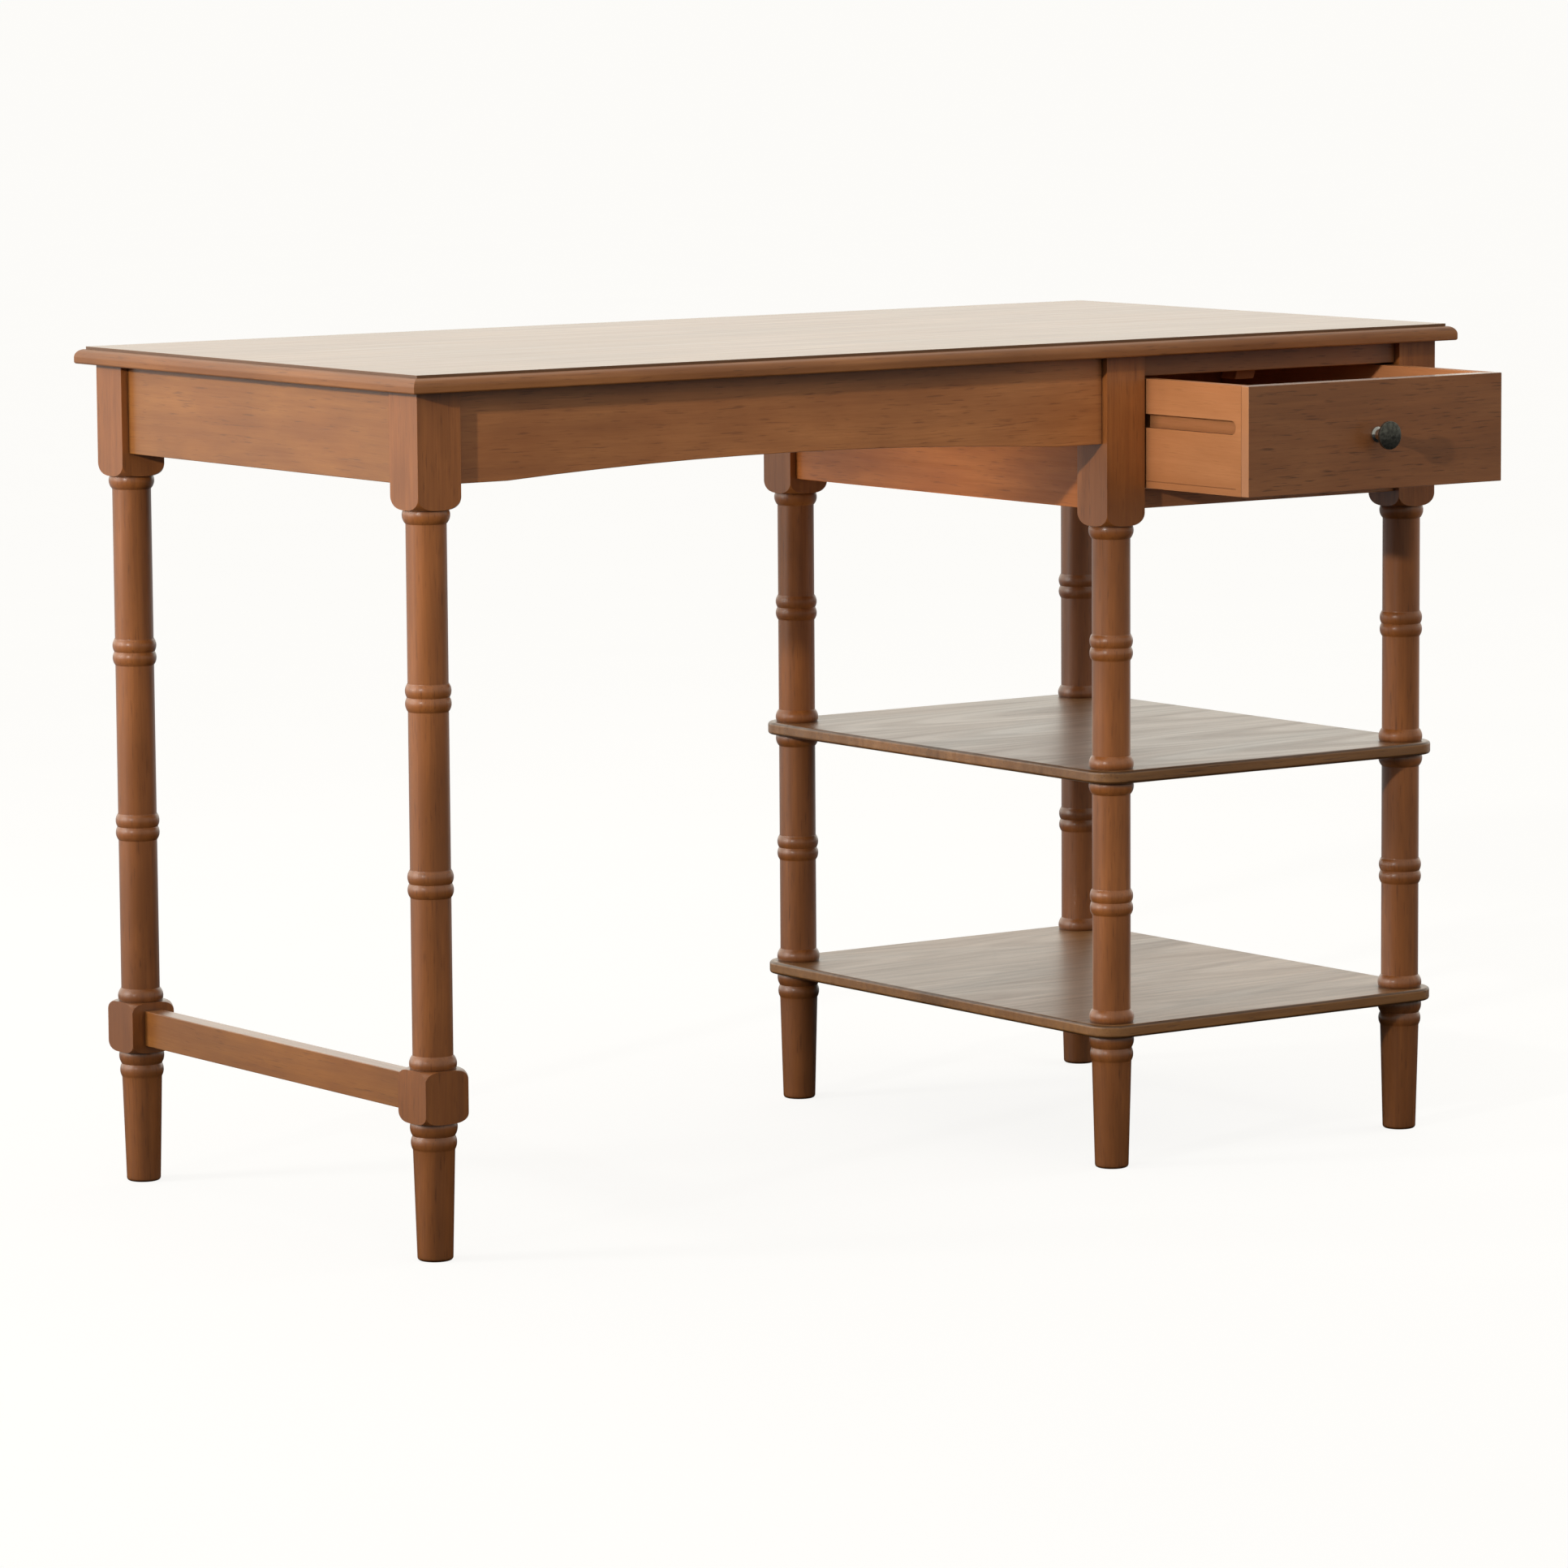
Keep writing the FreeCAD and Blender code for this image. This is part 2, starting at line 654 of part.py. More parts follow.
def edge_moulding(label, half_length, reach, spin):
    """Moulding along one edge: ledge, quarter round that bulges out, upright nose; mitred at both ends."""
    body = new_body(label, way=turned(Z_AXIS, spin))
    inner = f"moulding_width - ({reach})"
    outer = f"-({reach})"
    curve = "(moulding_width - moulding_ledge)"
    ledge_level = "desk_height - moulding_step"
    corners = [
        (inner, "top_under"),
        (inner, ledge_level),
        (f"{inner} - moulding_ledge", ledge_level),
        (outer, f"{ledge_level} - {curve}", curve, -1),
        (outer, "top_under + moulding_round"),
        (f"{outer} + moulding_round", "top_under", "moulding_round", -1),
    ]
    pad(body, "YZ_Plane", corners, f"2 * ({half_length})", f"-({half_length})")
    sketch = new_sketch(body, "XY_Plane")
    sketch.setExpression("AttachmentOffset.Base.z", formula("top_under - overrun"))
    for way in (-1, 1):
        past_end = signed(way, f"{half_length} + overrun")
        inside_end = signed(way, f"{half_length} - moulding_width - overrun")
        outline(sketch, [
            (past_end, f"{outer} - overrun"),
            (past_end, f"{inner} + overrun"),
            (inside_end, f"{inner} + overrun"),
        ])
    cut = body.newObject("PartDesign::Pocket", f"{label}_mitres")
    cut.Profile = sketch
    cut.Reversed = True
    bind(cut, Length="top_thickness + 2 * overrun")


# Pieces under the top

def top_screw_hole(body, x, y):
    """Hole up through a block or cleat for one of the screws that hold the top down."""
    sunk_screw_hole(body, "cleat_section", (x, y, "top_under - cleat_section"), UP)
    TOP_SCREWS.append((x, y))


def corner_block(side):
    """Glue block across a corner of the left end, with a screw up into the top."""
    way = SIDES[side]
    body = new_body(f"left_{side}_corner_block")
    corner_x = "(apron_thickness - apron_in - leg_x)"
    corner_y = "(frame_front - apron_thickness)"
    near, far = "corner_block_start", "(corner_block_start + corner_block_width)"
    plan = [(near, "0"), (far, "0"), ("0", far), ("0", near)]
    corners = [(f"{corner_x} + {x}", signed(way, f"{corner_y} - {y}")) for x, y in plan]
    pad(body, "XY_Plane", corners, "cleat_section", "top_under - cleat_section")
    screw_x = f"{corner_x} + corner_screw_offset"
    screw_y = signed(way, f"{corner_y} - corner_screw_offset")
    top_screw_hole(body, screw_x, screw_y)


def cleat(label, low, high, screw_places):
    """Square strip on the inside of an apron, with screws up into the top."""
    body = new_body(label)
    foot_level = "top_under - cleat_section"
    box(body, (*low, foot_level), (*high, "top_under"))
    for x, y in screw_places:
        top_screw_hole(body, x, y)


def kneehole_cleat(side):
    way = SIDES[side]
    near, far = "frame_front - apron_thickness", "frame_front - apron_thickness - cleat_section"
    low_y, high_y = signed(way, near), signed(way, far)
    if way > 0:
        low_y, high_y = high_y, low_y
    middle_y = signed(way, "frame_front - apron_thickness - cleat_section / 2")
    half = "kneehole_cleat_length / 2"
    screws = [(f"kneehole_x - {half} / 2", middle_y), (f"kneehole_x + {half} / 2", middle_y)]
    low, high = (f"kneehole_x - {half}", low_y), (f"kneehole_x + {half}", high_y)
    cleat(f"kneehole_{side}_cleat", low, high, screws)


def pedestal_cleat(name, x, way):
    near = f"{x} + {signed(way, 'apron_in - apron_thickness')}"
    far = f"{x} + {signed(way, 'apron_in - apron_thickness - cleat_section')}"
    middle = f"{x} + {signed(way, 'apron_in - apron_thickness - cleat_section / 2')}"
    low_x, high_x = (far, near) if way > 0 else (near, far)
    screws = [(middle, "-(clear_y) / 2"), (middle, "clear_y / 2")]
    cleat(f"pedestal_{name}_cleat", (low_x, "-(clear_y)"), (high_x, "clear_y"), screws)


def drawer_runner(name, x, way):
    """Strip screwed to the inner faces of two leg blocks, which carries the drawer by its side groove."""
    body = new_body(f"drawer_{name}_runner")
    seat = f"{x} - {signed(way, 'half_block')}"
    tip = f"{x} - {signed(way, 'half_block + drawer_gap + runner_engagement')}"
    low_x, high_x = (tip, seat) if way > 0 else (seat, tip)
    half = "runner_height / 2"
    box(body, (low_x, "runner_start", f"runner_level - {half}"),
        (high_x, "runner_end", f"runner_level + {half}"))
    for y in ("runner_front_screw", "runner_back_screw"):
        sunk_screw_hole(body, "drawer_gap + runner_engagement", (tip, y, "runner_level"),
                        TO_RIGHT if way > 0 else TO_LEFT)


def drawer_stop():
    """Raked block behind the upper rail, which meets the drawer's back at the end of its travel."""
    body = new_body("drawer_stop")
    half = "stop_width / 2"
    low = "upper_rail_foot - stop_drop"
    corners = [
        (f"drawer_x - {half} - stop_rake / 2", low),
        (f"drawer_x + {half} - stop_rake / 2", low),
        (f"drawer_x + {half} + stop_rake / 2", "top_under"),
        (f"drawer_x - {half} + stop_rake / 2", "top_under"),
    ]
    pad(body, "XZ_Plane", corners, "stop_depth", "frame_front - rail_depth - stop_depth")


# Drawer

def drawer_body(label):
    return new_body(label, y="-(drawer_opening)")


def drawer_front():
    """Front board, rebated at both ends for the sides and grooved for the bottom."""
    body = drawer_body("drawer_front")
    left, right = "drawer_x - drawer_half_width", "drawer_x + drawer_half_width"
    face, back = "-(frame_front)", "drawer_front_thickness - frame_front"
    box(body, (left, face, "drawer_foot"), (right, back, "drawer_head"))
    for start, end in (
        (f"{left} - overrun", f"{left} + drawer_side_thickness"),
        (f"{right} - drawer_side_thickness", f"{right} + overrun"),
    ):
        box(body, (start, "drawer_box_start", "drawer_foot - overrun"),
            (end, f"{back} + overrun", "drawer_head + overrun"), cut=True)
    box(body, (f"{left} + overrun", f"{back} - drawer_bottom_groove", "bottom_foot"),
        (f"{right} - overrun", f"{back} + overrun", "bottom_head"), cut=True)
    hole(body, "knob_screw_diameter / 2 + knob_screw_clearance", "drawer_front_thickness + 2 * overrun",
         ("drawer_x", f"{back} + overrun", "drawer_level"), TO_FRONT)


def drawer_side(name, way):
    """Side board with a runner groove, a groove for the bottom and a fine score line above its foot."""
    body = drawer_body(f"drawer_{name}_side")
    outer = f"drawer_x + {signed(way, 'drawer_half_width')}"

    def across(start_depth, end_depth):
        ends = [f"{outer} - {signed(way, depth)}" for depth in (start_depth, end_depth)]
        return ends if way < 0 else ends[::-1]

    wall = across("0", "drawer_side_thickness")
    box(body, (wall[0], "drawer_box_start", "drawer_foot"), (wall[1], "drawer_end", "drawer_head"))
    slot = across("-overrun", "groove_depth")
    box(body, (slot[0], "groove_straight_start", "runner_level - groove_half_height"),
        (slot[1], "drawer_end + overrun", "runner_level + groove_half_height"), cut=True)
    round_end = (slot[0], "groove_straight_start", "runner_level")
    hole(body, "groove_half_height", "groove_depth + overrun", round_end, TO_RIGHT)
    inside = across("drawer_side_thickness - drawer_bottom_groove", "drawer_side_thickness + overrun")
    box(body, (inside[0], "drawer_box_start - overrun", "bottom_foot"),
        (inside[1], "drawer_end + overrun", "bottom_head"), cut=True)
    line = across("-overrun", "score_depth")
    box(body, (line[0], "groove_start - frame_front", "drawer_foot + score_rise"),
        (line[1], "drawer_end + overrun", "drawer_foot + score_rise + score_height"), cut=True)


def drawer_back():
    """Back board between the sides, standing on the bottom panel."""
    body = drawer_body("drawer_back")
    half = "(drawer_half_width - drawer_side_thickness)"
    box(body, (f"drawer_x - {half}", "drawer_end - drawer_back_thickness", "bottom_head"),
        (f"drawer_x + {half}", "drawer_end", "drawer_head"))


def drawer_bottom():
    """Thin panel held in the grooves of the front and sides."""
    body = drawer_body("drawer_bottom")
    half = "(drawer_half_width - drawer_side_thickness + drawer_bottom_groove)"
    start = "drawer_front_thickness - drawer_bottom_groove - frame_front"
    box(body, (f"drawer_x - {half}", start, "bottom_foot"),
        (f"drawer_x + {half}", "drawer_end", "bottom_head"))


def drawer_knob():
    """Mushroom knob: flange, waisted neck and a disc with a low dome."""
    body = new_body("drawer_knob", "drawer_x", "-(frame_front) - drawer_opening", "drawer_level", TO_FRONT)
    neck_radius = "knob_neck_diameter / 2"
    rim_foot = "knob_projection - knob_dome - knob_rim_height"
    flare = f"({rim_foot} - knob_neck_height)"
    flare_run = "(knob_diameter / 2 - knob_neck_diameter / 2)"
    flare_radius = f"({flare} ^ 2 + {flare_run} ^ 2) / (2 * {flare})"
    dome_radius = "((knob_diameter / 2) ^ 2 + knob_dome ^ 2) / (2 * knob_dome)"
    revolve(body, [[
        ("0", "0"),
        ("knob_base_diameter / 2", "0"),
        ("knob_base_diameter / 2", "knob_base_height"),
        (neck_radius, "knob_base_height + knob_base_height"),
        (neck_radius, "knob_neck_height"),
        ("knob_diameter / 2", rim_foot, flare_radius, 1),
        ("knob_diameter / 2", f"{rim_foot} + knob_rim_height"),
        ("0", "knob_projection", dome_radius, -1),
    ]])
    hole(body, "knob_screw_diameter / 2 + knob_screw_clearance", "knob_screw_reach", ("0", "0", "0"), UP)


# Fasteners. Alike pieces are kept together as one group of separate solids.

def group(label, solids):
    feature = doc.addObject("Part::Feature", label)
    feature.Label = label
    feature.Shape = Part.makeCompound(solids)
    feature.Placement = FreeCAD.Placement(FreeCAD.Vector(0, number("desk_shift"), 0), FreeCAD.Rotation())
    sub_parts.append(feature)


def point(x, y, z):
    return FreeCAD.Vector(number(x), number(y), number(z))


def sunk_screw(head, way, length):
    """Wood screw with a sunk head; head is the middle of its flat face."""
    shank = number("screw_diameter") / 2
    cone = Part.makeCone(number("screw_head_diameter") / 2, shank, number("screw_head_height"), head, way)
    return cone.fuse(Part.makeCylinder(shank, number(length), head, way)).removeSplitter()


def top_screws():
    upward = FreeCAD.Vector(0, 0, 1)
    solids = []
    for x, y in TOP_SCREWS:
        head = point(x, y, "top_under - cleat_section")
        solids.append(sunk_screw(head, upward, "cleat_section + top_screw_bite - tip_gap"))
    group("top_screws", solids)


def runner_screws():
    solids = []
    for _, x, way in PEDESTAL_LEGS:
        for y in ("runner_front_screw", "runner_back_screw"):
            head = f"{x} - {signed(way, 'half_block + drawer_gap + runner_engagement')}"
            length = "drawer_gap + runner_engagement + runner_screw_bite - tip_gap"
            solids.append(sunk_screw(point(head, y, "runner_level"), FreeCAD.Vector(way, 0, 0), length))
    group("runner_screws", solids)


def leg_studs():
    """Threaded studs, shown plain, that join the lengths of each pedestal leg through a shelf."""
    solids = []
    for _, x, _ in PEDESTAL_LEGS:
        for y in ("-(leg_y)", "leg_y"):
            for under in ("upper_shelf_under", "lower_shelf_under"):
                start = point(x, y, f"{under} - stud_reach + tip_gap")
                length = number("shelf_thickness + 2 * stud_reach - 2 * tip_gap")
                solids.append(Part.makeCylinder(number("stud_diameter") / 2, length, start))
    group("leg_studs", solids)


def knob_screw():
    """Pan-head screw from inside the drawer front into the knob."""
    seat = "drawer_front_thickness - frame_front - drawer_opening"
    body = new_body("knob_screw", "drawer_x", seat, "drawer_level", TO_FRONT)
    shank = "knob_screw_diameter / 2"
    tip = "drawer_front_thickness + knob_screw_reach - tip_gap"
    revolve(body, [[
        ("0", "-knob_screw_head_height"),
        ("knob_screw_head_diameter / 2", "-knob_screw_head_height"),
        ("knob_screw_head_diameter / 2", "0"),
        (shank, "0"),
        (shank, tip),
        ("0", tip),
    ]])


def build():
    write_sizes()
    for side in SIDES:
        left_leg(side)
        corner_block(side)
        kneehole_cleat(side)
    for name, x, way in PEDESTAL_LEGS:
        for side in SIDES:
            pedestal_upper_leg(name, x, way, side)
            pedestal_middle_leg(name, x, side)
            pedestal_foot(name, x, side)
        pedestal_cleat(name, x, way)
        drawer_runner(name, x, way)
        drawer_side(name, way)
        end_apron(f"pedestal_{name}_apron", x, way, "pedestal_apron_foot", PEDESTAL_TENON)
    shelf("upper_shelf", "upper_shelf_under")
    shelf("lower_shelf", "lower_shelf_under")
    stretcher()
    end_apron("left_end_apron", "-leg_x", -1, "apron_foot", APRON_TENON)
    front_apron()
    back_board("kneehole_back_apron", "half_block - leg_x", "inner_x - half_block",
               "apron_foot", APRON_TENON)
    back_board("pedestal_back_apron", "inner_x + half_block", "leg_x - half_block",
               "pedestal_apron_foot", PEDESTAL_TENON)
    drawer_rail("drawer_upper_rail", "upper_rail_foot", "top_under", UPPER_RAIL_TENON)
    drawer_rail("drawer_lower_rail", "pedestal_apron_foot", "lower_rail_head", LOWER_RAIL_TENON)
    drawer_stop()
    top_panel()
    edge_moulding("front_edge_moulding", "top_length / 2", "top_depth / 2", 0)
    edge_moulding("right_edge_moulding", "top_depth / 2", "top_length / 2", 90)
    edge_moulding("back_edge_moulding", "top_length / 2", "top_depth / 2", 180)
    edge_moulding("left_edge_moulding", "top_depth / 2", "top_length / 2", 270)
    drawer_front()
    drawer_back()
    drawer_bottom()
    drawer_knob()
    knob_screw()
    top_screws()
    runner_screws()
    leg_studs()
    doc.recompute()


def check():
    """Stop if any feature failed or any sub-part has no sound solid."""
    for item in doc.Objects:
        if "Invalid" in item.State or "Error" in item.State:
            raise RuntimeError(f"{item.Label} failed: {item.State}")
    for item in sub_parts:
        if item.Shape.isNull() or not item.Shape.isValid() or not item.Shape.Solids:
            raise RuntimeError(f"{item.Label} has no sound solid")


def write_parts():
    os.makedirs("parts", exist_ok=True)
    for item in sub_parts:
        item.Shape.exportStep(f"parts/{item.Label}.step")
        print(f"{item.Label}: {len(item.Shape.Solids)} solid(s), {item.Shape.Volume:.0f} cubic millimetres")


build()
check()
write_parts()
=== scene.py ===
"""Looks for the kneehole desk: stained and lacquered wood, a dark metal knob, soft studio light."""
import json
import math

import bpy
from mathutils import Matrix, Vector


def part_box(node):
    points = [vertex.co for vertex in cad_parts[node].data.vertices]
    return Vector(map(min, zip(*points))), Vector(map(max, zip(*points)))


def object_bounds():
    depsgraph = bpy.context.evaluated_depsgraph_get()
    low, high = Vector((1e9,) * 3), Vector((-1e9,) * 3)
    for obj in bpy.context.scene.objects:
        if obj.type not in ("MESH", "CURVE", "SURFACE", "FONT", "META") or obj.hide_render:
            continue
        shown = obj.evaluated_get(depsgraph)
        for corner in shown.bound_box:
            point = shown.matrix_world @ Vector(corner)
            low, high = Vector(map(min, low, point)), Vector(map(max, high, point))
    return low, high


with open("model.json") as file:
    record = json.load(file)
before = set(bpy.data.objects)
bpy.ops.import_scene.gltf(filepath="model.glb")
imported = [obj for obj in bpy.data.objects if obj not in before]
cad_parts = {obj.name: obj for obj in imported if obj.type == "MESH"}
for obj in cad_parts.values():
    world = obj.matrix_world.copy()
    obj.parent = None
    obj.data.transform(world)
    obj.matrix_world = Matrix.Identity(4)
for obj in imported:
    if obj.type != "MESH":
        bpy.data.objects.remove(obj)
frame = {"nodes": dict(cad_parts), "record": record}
bounds_at_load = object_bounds()
nodes = frame["nodes"]
scene = bpy.context.scene

# Which way the fibres run: these pieces along X or Y, every other wooden piece along Z
ALONG_X = ("top_panel", "front_edge_moulding", "back_edge_moulding", "upper_shelf", "lower_shelf",
           "front_apron", "kneehole_back_apron", "pedestal_back_apron", "drawer_upper_rail",
           "drawer_lower_rail", "drawer_front", "drawer_back", "drawer_bottom", "drawer_stop",
           "kneehole_front_cleat", "kneehole_back_cleat", "left_front_corner_block",
           "left_back_corner_block")
ALONG_Y = ("left_edge_moulding", "right_edge_moulding", "left_stretcher", "left_end_apron",
           "pedestal_inner_apron", "pedestal_outer_apron", "pedestal_inner_cleat",
           "pedestal_outer_cleat", "drawer_inner_runner", "drawer_outer_runner", "drawer_inner_side",
           "drawer_outer_side")
GRAIN_TURN = {"x": (0, 0, 0), "y": (0, 0, math.pi / 2), "z": (0, math.pi / 2, 0)}


class Nodes:
    """A node tree, with short calls for adding nodes and joining them."""

    def __init__(self, tree):
        self.tree = tree

    def add(self, kind, **settings):
        node = self.tree.nodes.new("ShaderNode" + kind)
        for key, value in settings.items():
            setattr(node, key, value)
        return node

    def put(self, node, name, value):
        """Set an input to a number, a colour or another node's output."""
        socket = node.inputs[name]
        if isinstance(value, bpy.types.NodeSocket):
            self.tree.links.new(value, socket)
        else:
            socket.default_value = value

    def maths(self, operation, first, second=0.0):
        node = self.add("Math", operation=operation)
        self.put(node, 0, first)
        self.put(node, 1, second)
        return node.outputs[0]

    def vector(self, operation, first, second=(0.0, 0.0, 0.0)):
        node = self.add("VectorMath", operation=operation)
        self.put(node, 0, first)
        self.put(node, 1, second)
        return node.outputs["Value" if operation in ("DOT_PRODUCT", "LENGTH") else "Vector"]

    def noise(self, place, scales, detail=4.0, roughness=0.55):
        """Noise stretched by a scale along each axis; most of it lies between 0.3 and 0.7."""
        node = self.add("TexNoise")
        self.put(node, "Vector", self.vector("MULTIPLY", place, scales))
        self.put(node, "Scale", 1.0)
        self.put(node, "Detail", detail)
        self.put(node, "Roughness", roughness)
        return node.outputs["Fac"]

    def remap(self, source, low, high, to_low=0.0, to_high=1.0):
        node = self.add("MapRange")
        self.put(node, "Value", source)
        self.put(node, "From Min", low)
        self.put(node, "From Max", high)
        self.put(node, "To Min", to_low)
        self.put(node, "To Max", to_high)
        return node.outputs["Result"]

    def mix(self, share, first, second):
        """Blend of two colours."""
        node = self.add("Mix", data_type="RGBA")
        self.put(node, 0, share)
        self.put(node, 6, first)
        self.put(node, 7, second)
        return node.outputs[2]

    def between(self, share, first, second):
        """Blend of two numbers."""
        node = self.add("Mix")
        self.put(node, 0, share)
        self.put(node, 2, first)
        self.put(node, 3, second)
        return node.outputs[0]


def colour(parts, gain=1.0):
    return tuple(part * gain for part in parts) + (1.0,)


def new_material(name):
    """A material with its node tree and its principled shader."""
    material = bpy.data.materials.new(name)
    material.use_nodes = True
    return material, Nodes(material.node_tree), material.node_tree.nodes["Principled BSDF"]


def edge_share(tree, radius):
    """1 on edges and 0 on flats, from how far a rounded normal leans off the true one."""
    bevel = tree.add("Bevel", samples=4)
    tree.put(bevel, "Radius", radius)
    flat = tree.add("NewGeometry").outputs["Normal"]
    lean = tree.vector("DOT_PRODUCT", bevel.outputs["Normal"], flat)
    return tree.remap(lean, 0.995, 0.8)


def facing_share(tree, axis, low, high):
    """Share that goes from 0 to 1 as a face turns towards an axis, or away from it, from low to high."""
    parts = tree.add("SeparateXYZ")
    tree.put(parts, 0, tree.add("NewGeometry").outputs["Normal"])
    return tree.remap(tree.maths("ABSOLUTE", parts.outputs[axis]), low, high)


def add_bump(tree, shader, layer, height, strength, depth):
    """Relief under one layer's normal: the wood or metal itself, or the lacquer on it."""
    bump = tree.add("Bump")
    tree.put(bump, "Strength", strength)
    tree.put(bump, "Distance", depth)
    tree.put(bump, "Height", height)
    tree.put(shader, layer, bump.outputs["Normal"])


# Wood tones: the dark and light ends of the growth bands, and the stain in the streaks
LEG_TONES = ((0.268, 0.086, 0.019), (0.387, 0.130, 0.032), (0.188, 0.056, 0.011))
BOARD_TONES = ((0.270, 0.091, 0.017), (0.360, 0.134, 0.027), (0.203, 0.065, 0.011))
# The kneehole's side panel: lighter and redder, as painted warm bounce light
KNEEHOLE_BOUNCE_LIT_TONES = ((0.360, 0.103, 0.019), (0.480, 0.152, 0.030), (0.270, 0.073, 0.012))
APRON_TONES = ((0.372, 0.129, 0.037), (0.496, 0.190, 0.059), (0.279, 0.091, 0.024))
PANEL_TONES = ((0.291, 0.127, 0.046), (0.388, 0.186, 0.074), (0.218, 0.090, 0.030))
MOULDING_TONES = ((0.240, 0.084, 0.022), (0.320, 0.123, 0.036), (0.180, 0.059, 0.015))
# The drawer front's darker tone, which on the rails stands for painted shade
FACE_AND_RAIL_SHADE_TONES = ((0.239, 0.083, 0.026), (0.318, 0.123, 0.042), (0.179, 0.060, 0.018))
SHELF_TONES = ((0.195, 0.085, 0.027), (0.279, 0.130, 0.043), (0.140, 0.056, 0.016))
DRAWER_TONES = ((0.438, 0.169, 0.063), (0.513, 0.212, 0.085), (0.392, 0.145, 0.052))

# Flat-sawn boards: a leaf's width, where the log's heart lies, how fast it leaves the face and turns back
LEAF_WIDTH = 0.13
HEART_SHARE = 0.45
HEART_DEPTH = 0.035
HEART_TILT = 0.06
HEART_RUN = 1.0

# How many times each mark of the wood repeats in a metre: along the fibres, and across them both ways
WAVES = (1.2, 7.0, 7.0)
RINGS = (1.5, 160.0, 30.0)
STREAKS = (4.0, 150.0, 150.0)
FIBRES = (24.0, 800.0, 800.0)
PORES = (40.0, 700.0, 700.0)
BLOTCHES = (5.0, 9.0, 9.0)

# How far the waves bend the fibres, and how far apart in the log two pieces can lie
WAVE_BEND = 0.03
LOG_REACH = (3.1, 7.3, 5.7)

# How much stain the fibres take, how much stain and painted shade the deepest hollows take, and how uneven
# the shade of a board is
FIBRE_SHARE = 0.25
HOLLOW_STAIN_AND_SHADE_SHARE = 0.85
UNEVEN_SHADES = (0.84, 1.14)

# How bright pores, rounded edges, hollows (stain and painted shade) and upright sides (painted shade) are,
# against the streaks
PORE_GAIN = 0.45
HOLLOW_STAIN_AND_SHADE_GAIN = 0.25
SIDE_SHADE_GAIN = 0.5
ROUND_GAIN = 0.4

# Wear on the edges: how wide it is, how much it shows, and how bright it is against the light bands
WORN_EDGE = 0.0016
WORN_SHARE = 0.15
WORN_GAIN = 1.3

# Relief of raised fibres and sunken pores, and how strongly it shows in the wood under the lacquer
FIBRE_RISE = 0.5
PORE_DROP = 0.8
RELIEF_DEPTH = 0.0002
RELIEF_STRENGTH = 0.10


def fibre_space(tree, grain):
    """Coordinates with X along the fibres, moved differently in each piece and bent by slow waves."""
    place = tree.add("TexCoord").outputs["Object"]
    chance = tree.add("ObjectInfo").outputs["Random"]
    shift = tree.vector("MULTIPLY", chance, LOG_REACH)
    turn = tree.add("Mapping")
    tree.put(turn, "Vector", tree.vector("ADD", place, shift))
    tree.put(turn, "Rotation", GRAIN_TURN[grain])
    along = turn.outputs["Vector"]
    wave = tree.maths("SUBTRACT", tree.noise(along, WAVES, 2.0), 0.5)
    bend = tree.vector("MULTIPLY", wave, (0.0, WAVE_BEND, WAVE_BEND))
    return tree.vector("ADD", along, bend)


def growth_rings(tree, place):
    """Light and dark growth bands, which make tall arches where a board is cut flat through the log."""
    axes = tree.add("SeparateXYZ")
    tree.put(axes, 0, place)
    leaf = tree.maths("PINGPONG", axes.outputs["Y"], LEAF_WIDTH)
    across = tree.maths("SUBTRACT", leaf, LEAF_WIDTH * HEART_SHARE)
    run = tree.maths("PINGPONG", axes.outputs["X"], HEART_RUN)
    deep = tree.maths("ADD", tree.maths("MULTIPLY", run, HEART_TILT), HEART_DEPTH)
    squares = tree.maths("ADD", tree.maths("MULTIPLY", across, across), tree.maths("MULTIPLY", deep, deep))
    away = tree.add("CombineXYZ")
    tree.put(away, "X", axes.outputs["X"])
    tree.put(away, "Y", tree.maths("SQRT", squares))
    tree.put(away, "Z", axes.outputs["Z"])
    return tree.noise(away.outputs[0], RINGS, 3.0, 0.5)


